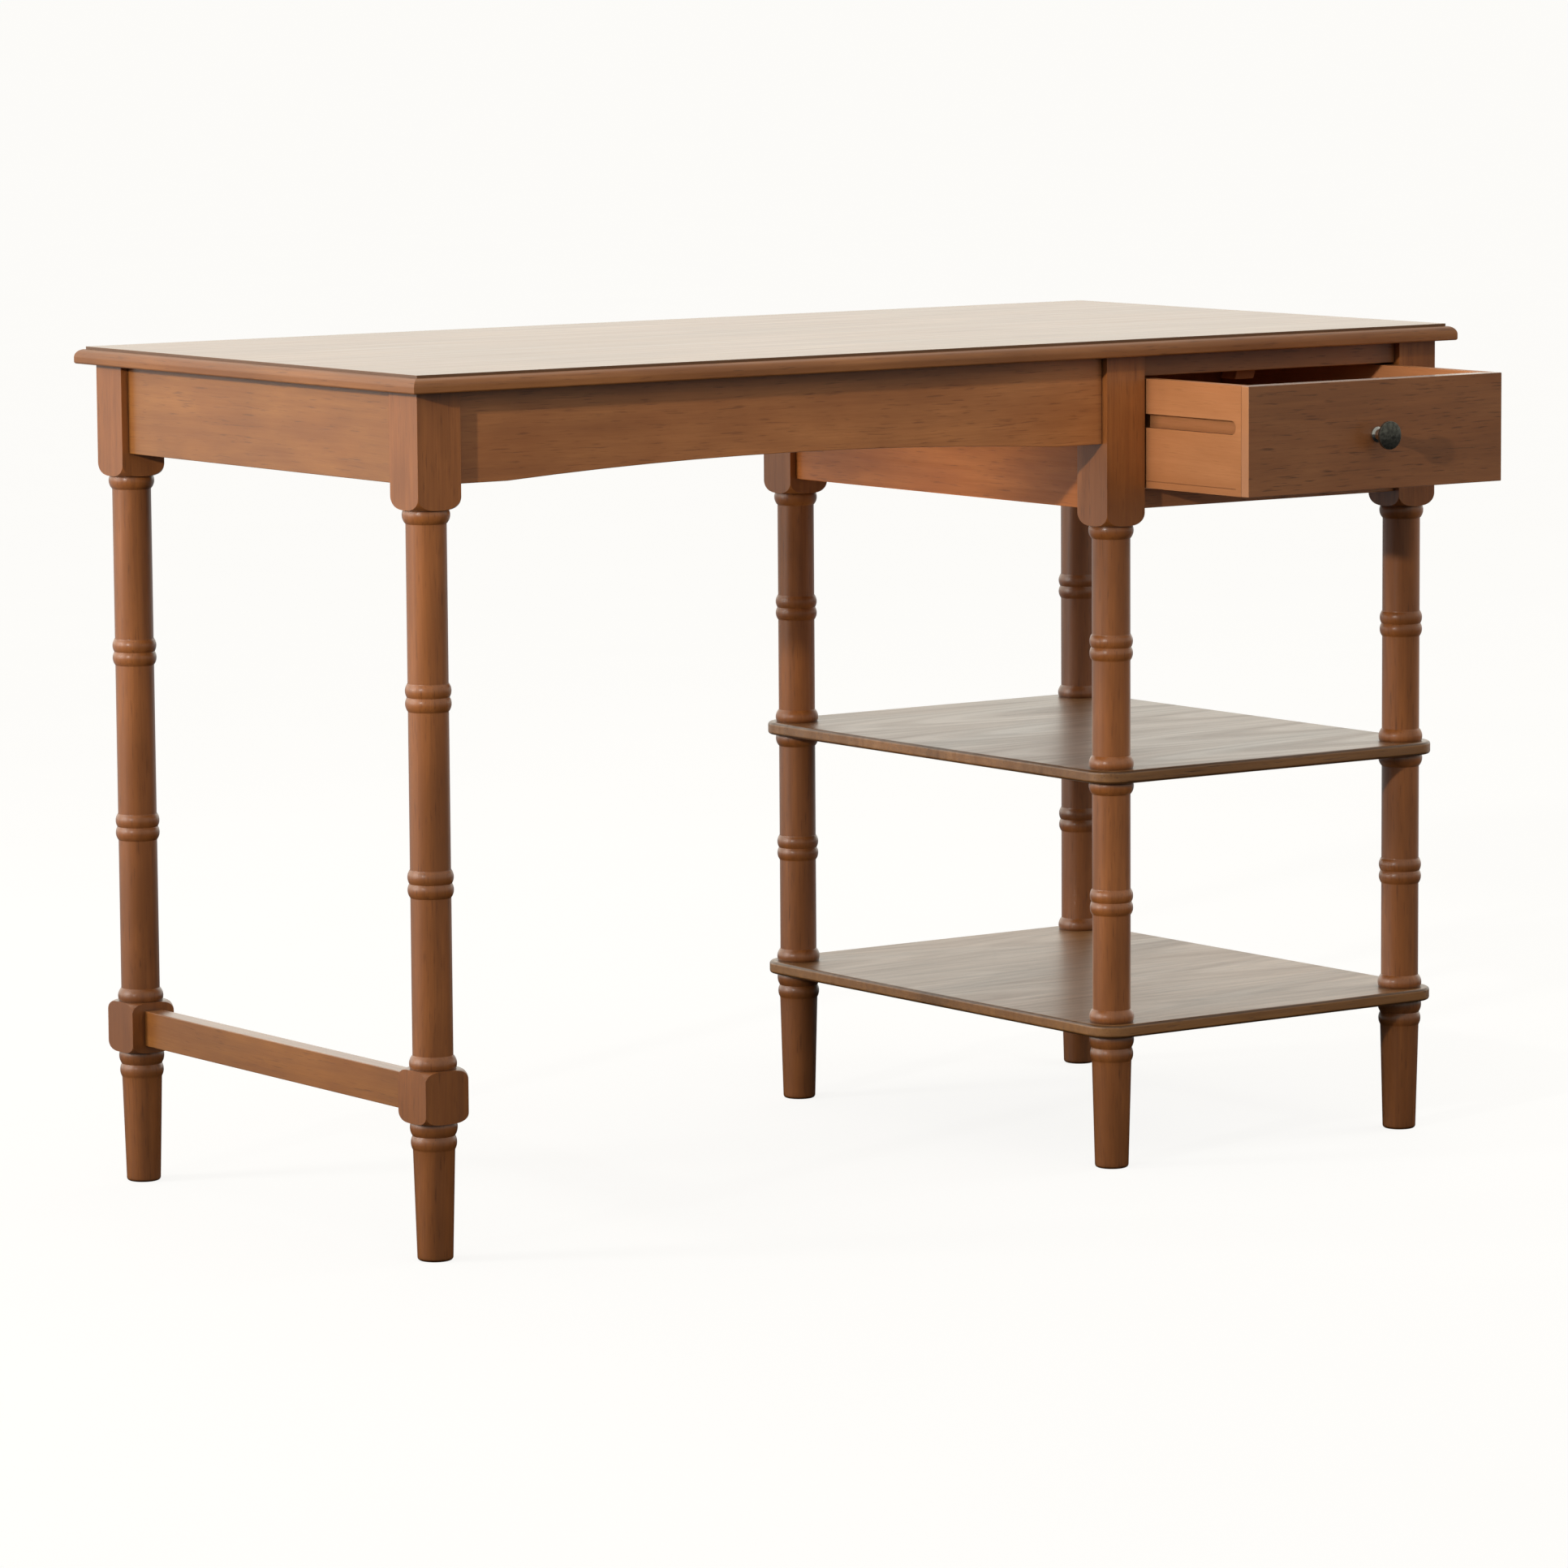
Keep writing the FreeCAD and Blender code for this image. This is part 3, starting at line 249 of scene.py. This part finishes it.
def wood(name, grain, tones, figure=0.4, pores=0.5, shine=0.5, roughness=0.4, coat=1.0, coat_roughness=0.25,
         speckle=0.1, broken=0.0, hollow_stain_and_shade_reach=0.006, side_shade=0.0, round_stain=0.0, end_tone=None):
    """Stained wood. Figure, pores and speckle set how much streaks, open grain and uneven lacquer show,
    and broken how much the growth bands break up what the lacquer mirrors. The upright sides of a board
    that lies flat can take painted shade and its rounded edges a darker stain, and end tone is for the bare
    ends of one that runs along X."""
    dark, light, stain = tones
    material, tree, shader = new_material(name)
    place = fibre_space(tree, grain)
    rings = growth_rings(tree, place)
    streaks = tree.noise(place, STREAKS, 5.0, 0.62)
    fibres = tree.noise(place, FIBRES, 3.0, 0.6)
    pore_marks = tree.remap(tree.noise(place, PORES, 2.0, 0.5), 0.40, 0.28)
    blotches = tree.noise(place, BLOTCHES, 4.0, 0.6)

    tone = tree.mix(tree.remap(rings, 0.32, 0.68), colour(dark), colour(light))
    tone = tree.mix(tree.maths("MULTIPLY", tree.remap(streaks, 0.40, 0.66), figure), tone, colour(stain))
    tone = tree.mix(tree.maths("MULTIPLY", tree.remap(fibres, 0.35, 0.65), FIBRE_SHARE), tone, colour(stain))
    tone = tree.mix(tree.maths("MULTIPLY", pore_marks, pores), tone, colour(stain, PORE_GAIN))
    if end_tone:
        tone = tree.mix(facing_share(tree, "X", 0.5, 0.95), tone, colour(end_tone))
    shade = tree.add("HueSaturation")
    uneven = tree.remap(blotches, 0.25, 0.75, *UNEVEN_SHADES)
    tree.put(shade, "Color", tone)
    # The object's colour carries the piece's painted light or shade
    tree.put(shade, "Value", tree.maths("MULTIPLY", uneven, tree.add("ObjectInfo").outputs["Color"]))

    # Stain lies thicker in the hollows, which painted shade darkens further, and is rubbed thin on the edges
    hollow_stain_and_shade = tree.add("AmbientOcclusion", samples=4)
    tree.put(hollow_stain_and_shade, "Distance", hollow_stain_and_shade_reach)
    deep = tree.remap(hollow_stain_and_shade.outputs["AO"], 0.85, 0.25, 0.0, HOLLOW_STAIN_AND_SHADE_SHARE)
    tone = tree.mix(deep, shade.outputs["Color"], colour(stain, HOLLOW_STAIN_AND_SHADE_GAIN))
    # Painted shade on the upright sides of a board that lies flat, such as the dark step along the top
    if side_shade:
        painted_side_shade = tree.maths("MULTIPLY", facing_share(tree, "Z", 0.95, 0.5), side_shade)
        tone = tree.mix(painted_side_shade, tone, colour(stain, SIDE_SHADE_GAIN))
    if round_stain:
        off_flat = facing_share(tree, "Z", 0.98, 0.85)
        slanting = tree.maths("MULTIPLY", off_flat, facing_share(tree, "Z", 0.25, 0.45))
        tone = tree.mix(tree.maths("MULTIPLY", slanting, round_stain), tone, colour(stain, ROUND_GAIN))
    worn = tree.maths("MULTIPLY", edge_share(tree, WORN_EDGE), WORN_SHARE)
    tree.put(shader, "Base Color", tree.mix(worn, tone, colour(light, WORN_GAIN)))

    tree.put(shader, "Specular IOR Level", shine)
    tree.put(shader, "Roughness", tree.remap(streaks, 0.3, 0.7, roughness - 0.05, roughness + 0.07))
    lacquer = tree.remap(rings, 0.35, 0.65, coat * (1.0 - broken), coat) if broken else coat
    tree.put(shader, "Coat Weight", lacquer)
    tree.put(shader, "Coat Roughness", coat_roughness)
    raised = tree.maths("MULTIPLY", fibres, FIBRE_RISE)
    relief = tree.maths("SUBTRACT", raised, tree.maths("MULTIPLY", pore_marks, PORE_DROP))
    add_bump(tree, shader, "Normal", relief, RELIEF_STRENGTH, RELIEF_DEPTH)
    if coat:
        add_bump(tree, shader, "Coat Normal", relief, speckle, RELIEF_DEPTH)
    return material


# Knob: its clouded disc, its polished neck, its rubbed edges, and the small dents all over it
DISC_TONES = ((0.11, 0.11, 0.095), (0.22, 0.22, 0.19))
DISC_CLOUDS = (300.0, 300.0, 300.0)
DISC_ROUGHNESS = 0.40
NECK_TONE = (0.70, 0.70, 0.66)
NECK_ROUGHNESS = 0.12
NECK_START_SHARES = (0.45, 0.60)
RUBBED_TONE = (0.60, 0.59, 0.56)
RUBBED_EDGE = 0.0008
RUBBED_SHARE = 0.6
DENTS = (420.0, 420.0, 420.0)
DENT_STRENGTH = 0.35
DENT_DEPTH = 0.0008


def knob_metal(name):
    """Dark pewter: a dull, clouded disc, a polished neck behind it, and rubbed edges."""
    material, tree, shader = new_material(name)
    coordinates = tree.add("TexCoord")
    place = coordinates.outputs["Object"]
    depth = tree.add("SeparateXYZ")
    tree.put(depth, 0, coordinates.outputs["Generated"])
    neck = tree.remap(depth.outputs["Y"], *NECK_START_SHARES)
    cloud = tree.remap(tree.noise(place, DISC_CLOUDS, 3.0), 0.35, 0.65)
    patina = tree.mix(cloud, colour(DISC_TONES[0]), colour(DISC_TONES[1]))
    tone = tree.mix(neck, patina, colour(NECK_TONE))
    rubbed = tree.maths("MULTIPLY", edge_share(tree, RUBBED_EDGE), RUBBED_SHARE)
    tree.put(shader, "Base Color", tree.mix(rubbed, tone, colour(RUBBED_TONE)))
    tree.put(shader, "Metallic", 1.0)
    tree.put(shader, "Roughness", tree.between(neck, DISC_ROUGHNESS, NECK_ROUGHNESS))
    dents = tree.noise(place, DENTS, 2.0)
    add_bump(tree, shader, "Normal", dents, DENT_STRENGTH, DENT_DEPTH)
    return material


# Screws and studs: the two ends of the zinc's clouding
ZINC_TONES = ((0.42, 0.42, 0.41), (0.62, 0.62, 0.60))
ZINC_ROUGHNESS = (0.25, 0.42)
ZINC_CLOUDS = (400.0, 400.0, 400.0)


def screw_steel(name):
    """Bright zinc plate with faint clouding."""
    material, tree, shader = new_material(name)
    place = tree.add("TexCoord").outputs["Object"]
    cloud = tree.noise(place, ZINC_CLOUDS)
    tone = tree.mix(tree.remap(cloud, 0.3, 0.7), colour(ZINC_TONES[0]), colour(ZINC_TONES[1]))
    tree.put(shader, "Base Color", tone)
    tree.put(shader, "Metallic", 1.0)
    tree.put(shader, "Roughness", tree.remap(cloud, 0.3, 0.7, *ZINC_ROUGHNESS))
    return material


def grain_of(name):
    if name in ALONG_X:
        return "x"
    if name in ALONG_Y:
        return "y"
    return "z"


# What a stained piece's name, or the last word of it, says about its wood
STAINED_KINDS = {
    "leg": "leg_wood", "foot": "leg_wood", "shelf": "shelf_wood", "lower_shelf": "low_shelf_wood",
    # The rails take the drawer front's darker tone as painted shade
    "moulding": "moulding_wood", "panel": "panel_wood", "front": "face_and_rail_shade_wood", "rail": "face_and_rail_shade_wood",
    # The kneehole's side panel has painted warm bounce light in its tone
    "front_apron": "apron_wood", "pedestal_inner_apron": "kneehole_bounce_lit_wood",
    "inner_back_upper_leg": "dull_leg_wood", "outer_front_upper_leg": "dull_leg_wood",
}
LEG_LOOK = {"tones": LEG_TONES, "figure": 0.5, "coat_roughness": 0.28}
SHELF_LOOK = {"tones": SHELF_TONES, "figure": 0.6, "pores": 0.8, "coat_roughness": 0.3, "speckle": 0.8,
              "broken": 0.45, "round_stain": 0.8}
WOODS = {
    "leg_wood": {**LEG_LOOK, "coat": 0.85},
    "dull_leg_wood": {**LEG_LOOK, "coat": 0.4},
    "moulding_wood": {"tones": MOULDING_TONES, "figure": 0.5, "coat": 0.25, "coat_roughness": 0.4},
    "board_wood": {"tones": BOARD_TONES},
    "apron_wood": {"tones": APRON_TONES},
    "kneehole_bounce_lit_wood": {"tones": KNEEHOLE_BOUNCE_LIT_TONES, "coat": 0.4},
    "panel_wood": {"tones": PANEL_TONES, "coat": 0.96, "broken": 0.08, "side_shade": 0.9},
    "face_and_rail_shade_wood": {"tones": FACE_AND_RAIL_SHADE_TONES, "pores": 0.8, "end_tone": DRAWER_TONES[1]},
    "shelf_wood": SHELF_LOOK,
    "low_shelf_wood": {**SHELF_LOOK, "coat": 0.80},
    "drawer_wood": {"tones": DRAWER_TONES, "figure": 0.25, "pores": 0.2, "shine": 0.25, "roughness": 0.5,
                    "coat": 0.0, "hollow_stain_and_shade_reach": 0.016},
}
METALS = {"dark_metal": knob_metal, "steel": screw_steel}


def material_for(name, slot):
    """The piece's material, made once for each kind of surface and grain direction."""
    kind = slot
    if slot == "stained_wood":
        kind = STAINED_KINDS.get(name) or STAINED_KINDS.get(name.split("_")[-1], "board_wood")
    full_name = f"{kind}_{grain_of(name)}" if kind in WOODS else f"worn_{kind}"
    if full_name in bpy.data.materials:
        return bpy.data.materials[full_name]
    if kind in WOODS:
        return wood(full_name, grain_of(name), **WOODS[kind])
    return METALS[kind](full_name)


EDGE_ROUND = 0.0007
WELD_REACH = EDGE_ROUND / 50
SHARP_ANGLE = math.radians(35)


def ease_edges(piece):
    """Round the sharp edges a little, and keep the flat faces flat to look at."""
    weld = piece.modifiers.new("weld", "WELD")
    weld.merge_threshold = WELD_REACH
    bevel = piece.modifiers.new("ease", "BEVEL")
    bevel.width = EDGE_ROUND
    bevel.segments = 2
    bevel.limit_method = "ANGLE"
    bevel.angle_limit = SHARP_ANGLE
    bevel.loop_slide = False
    flat = piece.modifiers.new("flat", "WEIGHTED_NORMAL")
    flat.keep_sharp = True


# Painted shade or light over a whole piece, by the start of its name: shade on shaded legs, light on the
# rail, stretcher, shelf
PAINTED_PIECE_SHADES = {
    "inner_front_foot": 0.80, "inner_back_upper": 0.88, "inner_back": 0.74, "outer_front": 0.78,
    "outer_back": 0.74, "left_stretcher": 1.15, "lower_shelf": 1.15, "drawer_lower_rail": 1.5,
}


def painted_piece_shade(name):
    """How much painted light or shade the whole piece gets; the first start of a name that fits counts."""
    for start, shade in PAINTED_PIECE_SHADES.items():
        if name.startswith(start):
            return shade
    return 1.0


def dress():
    """Give every piece its material, and ease the edges of all wood but the shelves, which are round."""
    for row in frame["record"]["subparts"]:
        piece = nodes[row["node"]]
        # Painted light or shade for the whole piece, carried in its object colour
        piece.color = colour([painted_piece_shade(row["node"])] * 3)
        piece.data.materials.clear()
        piece.data.materials.append(material_for(row["node"], row["material_slot"]))
        if row["material_slot"].endswith("wood") and not row["node"].endswith("shelf"):
            ease_edges(piece)


# Camera, at the photo's place: it looks at a point on the desk's middle line
PHOTO_WIDTH = 1932
FOCAL_PIXELS = 8653.12
OPTICAL_CENTRE = (961.72, 960.28)
CAMERA_AZIMUTH = math.radians(-35.66)
CAMERA_ELEVATION = math.radians(6.94)
CAMERA_ROLL = math.radians(-0.39)
CAMERA_DISTANCE = 6.48312
TARGET_RIGHT = 0.0005
TARGET_HEIGHT = 0.34961
SIGHT_LIMIT = 1000.0


def desk_middle():
    """Middle of the top's depth, half way from its front to its back."""
    low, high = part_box("top_panel")
    return (low.y + high.y) / 2


def add_camera():
    data = bpy.data.cameras.new("camera")
    camera = bpy.data.objects.new("camera", data)
    scene.collection.objects.link(camera)
    flat = math.cos(CAMERA_ELEVATION)
    rise = math.sin(CAMERA_ELEVATION)
    back = Vector((math.sin(CAMERA_AZIMUTH) * flat, -math.cos(CAMERA_AZIMUTH) * flat, rise))
    level_right = Vector((0, 0, 1)).cross(back).normalized()
    level_up = back.cross(level_right)
    right = level_right * math.cos(CAMERA_ROLL) + level_up * math.sin(CAMERA_ROLL)
    up = level_up * math.cos(CAMERA_ROLL) - level_right * math.sin(CAMERA_ROLL)
    place = Vector((TARGET_RIGHT, desk_middle(), TARGET_HEIGHT)) + back * CAMERA_DISTANCE
    rows = [(right[i], up[i], back[i], place[i]) for i in range(3)]
    camera.matrix_world = Matrix(rows + [(0, 0, 0, 1)])
    data.lens = data.sensor_width * FOCAL_PIXELS / PHOTO_WIDTH
    data.shift_x = (PHOTO_WIDTH / 2 - OPTICAL_CENTRE[0]) / PHOTO_WIDTH
    data.shift_y = (OPTICAL_CENTRE[1] - PHOTO_WIDTH / 2) / PHOTO_WIDTH
    data.clip_end = SIGHT_LIMIT
    scene.camera = camera


# Three lamps: a hard key at the left, a softer one behind it, and a large, weak one in front
LAMP_COLOUR = (1.0, 0.985, 0.955)
LAMP_ANGLE = math.radians(80)
LAMP_BLEND = 0.3
KEY = {"place": Vector((-4.75, -1.56, 1.95)), "watts": 750.0, "radius": 0.08, "floor_share": 0.0,
       "glint_share": 0.3}
LEFT = {"place": Vector((-4.3, 1.7, 1.7)), "watts": 290.0, "radius": 0.6, "floor_share": 1.4,
        "glint_share": 0.8}
FRONT = {"place": Vector((0.3, -3.4, 2.6)), "watts": 42.0, "radius": 0.7, "floor_share": 1.0,
         "glint_share": 0.0}


def add_lamp(name, place, watts, radius, floor_share, glint_share):
    """A level spot lamp. Floor share is how strong its light is at the floor against the desk's top, and
    glint share how strongly lacquer and metal mirror it, which a twin of the lamp does."""
    data = bpy.data.lights.new(name, "SPOT")
    data.energy = watts
    data.color = LAMP_COLOUR
    data.shadow_soft_size = radius
    data.spot_size = LAMP_ANGLE
    data.spot_blend = LAMP_BLEND
    data.use_nodes = True
    tree = Nodes(data.node_tree)
    parts = tree.add("SeparateXYZ")
    tree.put(parts, 0, tree.add("TexCoord").outputs["Normal"])
    drop = tree.maths("DIVIDE", parts.outputs["Y"], parts.outputs["Z"])
    reach = place.xy.length
    top_drop = (place.z - bounds_at_load[1].z) / reach
    floor_drop = place.z / (reach - bounds_at_load[1].x)
    fade = tree.remap(drop, top_drop, floor_drop, 1.0, floor_share)
    tree.put(data.node_tree.nodes["Emission"], "Strength", fade)
    lamp = bpy.data.objects.new(name, data)
    lamp.visible_camera = False
    lamp.visible_glossy = False
    lamp.location = place
    heading = Vector((-place.x, desk_middle() - place.y, 0))
    lamp.rotation_euler = heading.to_track_quat("-Z", "Y").to_euler()
    scene.collection.objects.link(lamp)
    if glint_share:
        glint = lamp.copy()
        glint.data = data.copy()
        glint.data.energy = watts * glint_share
        glint.visible_glossy = True
        glint.visible_diffuse = False
        scene.collection.objects.link(glint)


# Light thrown back: up into the kneehole, and at the pedestal from its right
KNEEHOLE_BOUNCE = {"place": Vector((-0.20, 0.08, 0.12)), "target": Vector((0.17, 0.08, 0.64)), "watts": 0.44,
                   "size": 0.12, "spread": math.radians(50)}
RIGHT_BOUNCE = {"place": Vector((1.35, -0.36, 0.55)), "target": Vector((0.35, -0.10, 0.50)), "watts": 1.5,
                "size": 0.40, "spread": math.radians(120)}


def add_bounce(name, place, target, watts, size, spread):
    """A soft lamp that neither the camera nor the lacquer shows."""
    data = bpy.data.lights.new(name, "AREA")
    data.energy = watts
    data.color = LAMP_COLOUR
    data.size = size
    data.spread = spread
    lamp = bpy.data.objects.new(name, data)
    lamp.location = place
    lamp.rotation_euler = (target - place).to_track_quat("-Z", "Y").to_euler()
    lamp.visible_camera = False
    lamp.visible_glossy = False
    scene.collection.objects.link(lamp)


# Soft light from all round, and what the lacquer mirrors: white behind the desk, a dim room in front
WHITE = (0.974, 0.965, 0.948)
MIRROR_COLOUR = (1.0, 0.98, 0.89)
FILL = 0.62
SKY_MIRROR = {"left": 1.42, "right": 1.12, "front": 0.38}
FLOOR_MIRROR = {"left": 0.46, "right": 0.40, "front": 0.06}
# How far from the middle the floor's mirrored glow starts and becomes full: painted shade near the desk
FLOOR_MIRROR_START = 0.5
FLOOR_MIRROR_FULL = 2.4

# How wide the change in that room is, either way from its middle: left to right, and front to back
SIDE_TURN = 0.5
BACK_TURN = 0.3


def mirrored(tree, way, left, right, front):
    """How bright the room is that the lacquer mirrors, by the direction looked in."""
    back = tree.remap(way.outputs["X"], -SIDE_TURN, SIDE_TURN, left, right)
    return tree.remap(way.outputs["Y"], -BACK_TURN, BACK_TURN, front, back)


def add_world():
    world = bpy.data.worlds.new("studio")
    scene.world = world
    world.use_nodes = True
    tree = Nodes(world.node_tree)
    path = tree.add("LightPath")
    way = tree.add("SeparateXYZ")
    tree.put(way, 0, tree.add("TexCoord").outputs["Generated"])
    strength = tree.between(path.outputs["Is Glossy Ray"], FILL, mirrored(tree, way, **SKY_MIRROR))
    strength = tree.between(path.outputs["Is Camera Ray"], strength, 1.0)
    tint = tree.mix(path.outputs["Is Camera Ray"], colour(MIRROR_COLOUR), colour(WHITE))
    background = world.node_tree.nodes["Background"]
    tree.put(background, "Color", tint)
    tree.put(background, "Strength", strength)


# Floor: its size, its two pale tones, the darker one that it throws light back with, and its own glow
FLOOR_SIZE = 400.0
FLOOR_TONES = ((0.80, 0.795, 0.785), (0.83, 0.825, 0.815))
FLOOR_BOUNCE_TONE = (0.12, 0.12, 0.12)
FLOOR_CLOUDS = (3.0, 3.0, 3.0)
FLOOR_GLOW_SHARE = 0.8
FLOOR_GLOW = 1.125


def add_floor():
    """Pale floor that keeps a soft shadow and otherwise melts into the white behind it."""
    bpy.ops.mesh.primitive_plane_add(size=FLOOR_SIZE)
    floor = bpy.context.object
    floor.name = "floor"
    material, tree, shader = new_material("floor")
    path = tree.add("LightPath")
    place = tree.add("TexCoord").outputs["Object"]
    cloud = tree.remap(tree.noise(place, FLOOR_CLOUDS), 0.3, 0.7)
    pale = tree.mix(cloud, colour(FLOOR_TONES[0]), colour(FLOOR_TONES[1]))
    tree.put(shader, "Base Color", tree.mix(path.outputs["Is Camera Ray"], colour(FLOOR_BOUNCE_TONE), pale))
    tree.put(shader, "Roughness", 0.9)
    tree.put(shader, "Specular IOR Level", 0.0)
    glow = tree.add("Emission")
    tree.put(glow, "Color", colour(WHITE))
    way = tree.add("SeparateXYZ")
    tree.put(way, 0, tree.vector("NORMALIZE", place))
    far = tree.remap(tree.vector("LENGTH", place), FLOOR_MIRROR_START, FLOOR_MIRROR_FULL)
    mirror = tree.maths("MULTIPLY", mirrored(tree, way, **FLOOR_MIRROR), far)
    tree.put(glow, "Strength", tree.between(path.outputs["Is Glossy Ray"], FLOOR_GLOW, mirror))
    blend = tree.add("MixShader")
    glowing = tree.maths("MULTIPLY", path.outputs["Is Camera Ray"], FLOOR_GLOW_SHARE)
    tree.put(blend, 0, tree.maths("MAXIMUM", glowing, path.outputs["Is Glossy Ray"]))
    tree.put(blend, 1, shader.outputs[0])
    tree.put(blend, 2, glow.outputs[0])
    tree.put(material.node_tree.nodes["Material Output"], "Surface", blend.outputs[0])
    floor.data.materials.append(material)


dress()
add_camera()
add_lamp("key", **KEY)
add_lamp("left", **LEFT)
add_lamp("front", **FRONT)
add_bounce("kneehole bounce", **KNEEHOLE_BOUNCE)
add_bounce("right bounce", **RIGHT_BOUNCE)
add_world()
add_floor()
scene.view_settings.view_transform = "Standard"
